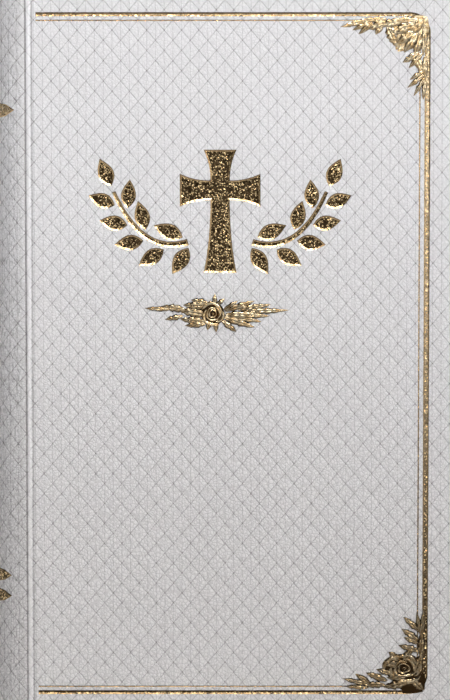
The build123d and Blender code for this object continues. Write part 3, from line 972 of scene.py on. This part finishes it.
def floral_spray():
    """A rose between leaves that taper away to both sides."""
    relief = Relief(height=1.8, shade=1.25)
    # start and tip measured from the rose, then width and teeth
    sprigs = (
        (-8.0, 1.2, -15.6, 2.3, 2.6, 4), (-12.6, 1.3, -20.5, 1.7, 1.7, 3),
        (-8.8, -0.6, -14.4, -1.7, 2.0, 3),
        (-1.6, 2.4, -9.0, 2.6, 3.0, 4), (-1.2, 3.0, -6.6, 4.2, 2.6, 3), (-1.8, -0.4, -10.4, 1.2, 3.4, 5),
        (-2.0, -2.4, -10.0, -1.5, 2.8, 4), (-2.0, -3.0, -8.4, -3.5, 2.2, 3), (0.6, 2.6, 0.6, 6.0, 1.6, 0),
        (1.0, 2.6, 3.6, 4.6, 1.8, 2), (3.2, 1.2, 7.8, 4.1, 1.7, 2), (3.4, 0.8, 12.8, 4.0, 2.3, 4),
        (7.0, 1.3, 17.6, 2.8, 2.2, 6), (9.0, 0.7, 22.9, 1.1, 2.1, 6), (3.6, 0.0, 17.4, -0.7, 2.5, 6),
        (3.4, -0.5, 14.8, -2.4, 2.5, 5), (3.2, -1.1, 12.8, -4.1, 2.5, 4), (2.6, -1.8, 7.2, -5.5, 2.2, 3),
        (0.9, -2.6, 1.0, -5.5, 1.5, 0), (-1.0, -2.4, -1.6, -4.9, 1.6, 0),
    )
    x0 = CREASE + 55.7
    z0 = HEIGHT / 2 + 12.6
    for step, (a, b, c, d, width, lobes) in enumerate(sprigs):
        relief.leaf((x0 + a, z0 + b), (x0 + c, z0 + d), width, lobes, 0.32 + 0.03 * (step % 5))
    relief.rose(x0, z0, 3.5, 8)
    relief.build("floral_relief", "floral_spray")


upper_corner()
lower_corner()
floral_spray()


# ---- carried-over CAD pieces -------------------------------------------------------------------------
finishes = {
    "front_board": BOARD, "rear_board": BOARD, "front_infill": CARD, "rear_infill": CARD,
    "front_pastedown": ENDPAPER, "rear_pastedown": ENDPAPER,
    "front_flyleaf": ENDPAPER, "rear_flyleaf": ENDPAPER,
    "front_hinge_lining": CLOTH, "rear_hinge_lining": CLOTH,
    "front_sewing_thread": THREAD, "rear_sewing_thread": THREAD,
}
for number in range(1, 19):
    finishes[f"section_{number:02d}"] = LEAVES
for name, material in finishes.items():
    mesh = frame["nodes"][name].data
    mesh.materials.clear()
    mesh.materials.append(material)


# ---- floor, light and camera ---------------------------------------------------------------------------
def area_light(name, place, target, width, height, watts, spread=180):
    lamp = bpy.data.lights.new(name, "AREA")
    lamp.shape = "RECTANGLE"
    lamp.size = width
    lamp.size_y = height
    lamp.energy = watts
    lamp.spread = math.radians(spread)
    obj = bpy.data.objects.new(name, lamp)
    obj.location = place
    obj.rotation_euler = (Vector(target) - Vector(place)).to_track_quat("-Z", "Y").to_euler()
    bpy.context.scene.collection.objects.link(obj)


def floor_panels():
    """Light that falls round the book but not on it, so that the floor is pale far away too."""
    near, far, height, strength = 0.95, 12.0, 1.25, 2.0
    away, deep = (near + far) / 2, far - near
    for sign, end, side in ((-1, "before", "left"), (1, "behind", "right")):
        area_light("floor_" + end, (0, sign * away, height), (0, sign * away, 0),
                   2 * far, deep, strength * 2 * far * deep, spread=60)
        area_light("floor_" + side, (sign * away, 0, height), (sign * away, 0, 0),
                   deep, 2 * near, strength * 2 * near * deep, spread=60)


def floor():
    material, tree, bsdf = new_material("pale_floor")
    place = add(tree, "ShaderNodeTexCoord").outputs["Object"]
    soft = noise(tree, place, 3.0, 2.0)
    colour = tint(tree, soft, (0.70, 0.69, 0.68, 1), (0.74, 0.73, 0.72, 1))
    tree.links.new(colour, bsdf.inputs["Base Color"])
    bsdf.inputs["Roughness"].default_value = 0.85
    reach = 6000.0
    corners = [(-reach, -reach, 0), (reach, -reach, 0), (reach, reach, 0), (-reach, reach, 0)]
    obj = mesh_object("floor", corners, [(0, 1, 2, 3)], material, smooth=False)


def world():
    """A dim even surround that the camera sees as a pale backdrop."""
    sky = bpy.data.worlds.new("studio")
    bpy.context.scene.world = sky
    sky.use_nodes = True
    tree = sky.node_tree
    shader = tree.nodes["Background"]
    seen = add(tree, "ShaderNodeLightPath").outputs["Is Camera Ray"]
    tree.links.new(tint(tree, seen, (0.12, 0.12, 0.124, 1), (0.74, 0.74, 0.75, 1)), shader.inputs["Color"])


def camera():
    """Straight on to the front cover, very slightly above it, framed inside the cover's edges."""
    lens_data = bpy.data.cameras.new("camera")
    distance = 0.70
    tilt = math.radians(3.3)
    shown = 0.209
    lens_data.sensor_width = 36.0
    lens_data.lens = 36.0 * distance / shown
    lens_data.clip_start = 0.01
    target = Vector(((CREASE + 59.35) * MM, -HALF * MM, (HEIGHT / 2 + 1.8) * MM))
    obj = bpy.data.objects.new("camera", lens_data)
    obj.location = target + Vector((0, -math.cos(tilt), math.sin(tilt))) * distance
    obj.rotation_euler = (target - obj.location).to_track_quat("-Z", "Y").to_euler()
    bpy.context.scene.collection.objects.link(obj)
    bpy.context.scene.camera = obj


floor()
world()
camera()
middle = (0, 0, HEIGHT / 2 * MM)
area_light("key", (0.66, -0.76, 1.08), (0, 0, 0.24), 0.7, 0.4, 0.75, spread=40)
area_light("top", (-0.05, -0.74, 1.12), (0, 0, 0.14), 0.5, 0.22, 0.35, spread=40)
area_light("front_soft", (0.55, -2.1, 0.69), (0, 0, 0.2), 1.7, 0.95, 2.24, spread=80)
area_light("fill", (1.5, -0.9, 0.5), middle, 0.9, 0.9, 1.66)
area_light("back_fill", (-0.8, 2.0, 1.4), middle, 1.6, 1.2, 38)
floor_panels()
bpy.context.scene.view_settings.view_transform = "Standard"
